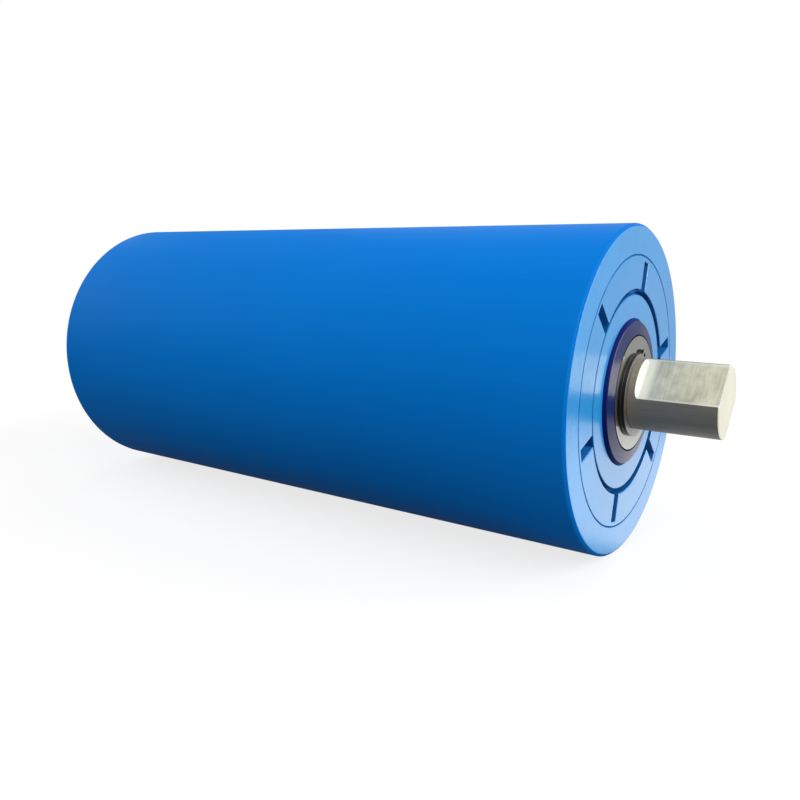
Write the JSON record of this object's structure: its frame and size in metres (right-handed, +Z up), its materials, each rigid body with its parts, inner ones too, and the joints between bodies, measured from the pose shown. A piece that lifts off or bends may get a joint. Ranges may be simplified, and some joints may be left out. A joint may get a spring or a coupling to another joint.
{
  "type": "conveyor return idler roll",
  "caption": "Smooth polymer conveyor idler roll with sealed ball bearings, turning on a fixed steel shaft with milled flats that drop into slotted brackets.",
  "frame": {"origin": "middle of the roll, on its axis", "axes": "+X along the roll axis towards the right end, +Z up; the shaft flats face halfway between up and the front (-Y)"},
  "size_m": [0.378, 0.14, 0.14],
  "materials": {
    "shell_blue": "smooth satin extruded polymer",
    "cap_blue": "moulded polymer with a slight gloss",
    "shaft_steel": "cold-drawn bar with milled flats",
    "bearing_steel": "ground bearing steel",
    "ball_steel": "polished bearing steel",
    "shield_steel": "pressed sheet steel",
    "cage_steel": "pressed strip steel",
    "labyrinth_black": "navy moulded polymer, almost black",
    "cover_steel": "zinc-plated pressed steel",
    "clip_steel": "bare spring steel",
    "seal_rubber": "black nitrile rubber"
  },
  "bodies": {
    "shaft": {"shaft": "shaft_steel", "bearing_inner_ring_right": "bearing_steel", "labyrinth_shaft_ring_right": "labyrinth_black", "dust_cover_right": "cover_steel", "outer_clip_right": "clip_steel", "inner_clip_right": "clip_steel", "bearing_inner_ring_left": "bearing_steel", "labyrinth_shaft_ring_left": "labyrinth_black", "dust_cover_left": "cover_steel", "outer_clip_left": "clip_steel", "inner_clip_left": "clip_steel"},
    "roll": {"shell_tube": "shell_blue", "end_cap_right": "cap_blue", "bearing_outer_ring_right": "bearing_steel", "bearing_shield_outer_right": "shield_steel", "bearing_shield_inner_right": "shield_steel", "labyrinth_cap_ring_right": "labyrinth_black", "back_seal_right": "seal_rubber", "end_cap_left": "cap_blue", "bearing_outer_ring_left": "bearing_steel", "bearing_shield_outer_left": "shield_steel", "bearing_shield_inner_left": "shield_steel", "labyrinth_cap_ring_left": "labyrinth_black", "back_seal_left": "seal_rubber"},
    "cage_right": {"cage_half_outer_right": "cage_steel", "cage_half_inner_right": "cage_steel", "cage_rivets_right": "cage_steel", "ball_right_1": "ball_steel", "ball_right_2": "ball_steel", "ball_right_3": "ball_steel", "ball_right_4": "ball_steel", "ball_right_5": "ball_steel", "ball_right_6": "ball_steel", "ball_right_7": "ball_steel", "ball_right_8": "ball_steel", "ball_right_9": "ball_steel"},
    "cage_left": {"cage_half_outer_left": "cage_steel", "cage_half_inner_left": "cage_steel", "cage_rivets_left": "cage_steel", "ball_left_1": "ball_steel", "ball_left_2": "ball_steel", "ball_left_3": "ball_steel", "ball_left_4": "ball_steel", "ball_left_5": "ball_steel", "ball_left_6": "ball_steel", "ball_left_7": "ball_steel", "ball_left_8": "ball_steel", "ball_left_9": "ball_steel"}
  },
  "joints": [
    {"name": "roll_spin", "type": "hinge", "parent": "shaft", "child": "roll", "pos_m": [0, 0, 0], "axis": [1, 0, 0], "continuous": true},
    {"name": "cage_right_spin", "type": "hinge", "parent": "shaft", "child": "cage_right", "pos_m": [0, 0, 0], "axis": [1, 0, 0], "continuous": true},
    {"name": "cage_left_spin", "type": "hinge", "parent": "shaft", "child": "cage_left", "pos_m": [0, 0, 0], "axis": [1, 0, 0], "continuous": true}
  ],
  "couplings": [
    {"joint": "cage_right_spin", "follows": "roll_spin", "ratio": 0.60353},
    {"joint": "cage_left_spin", "follows": "roll_spin", "ratio": 0.60353}
  ]
}
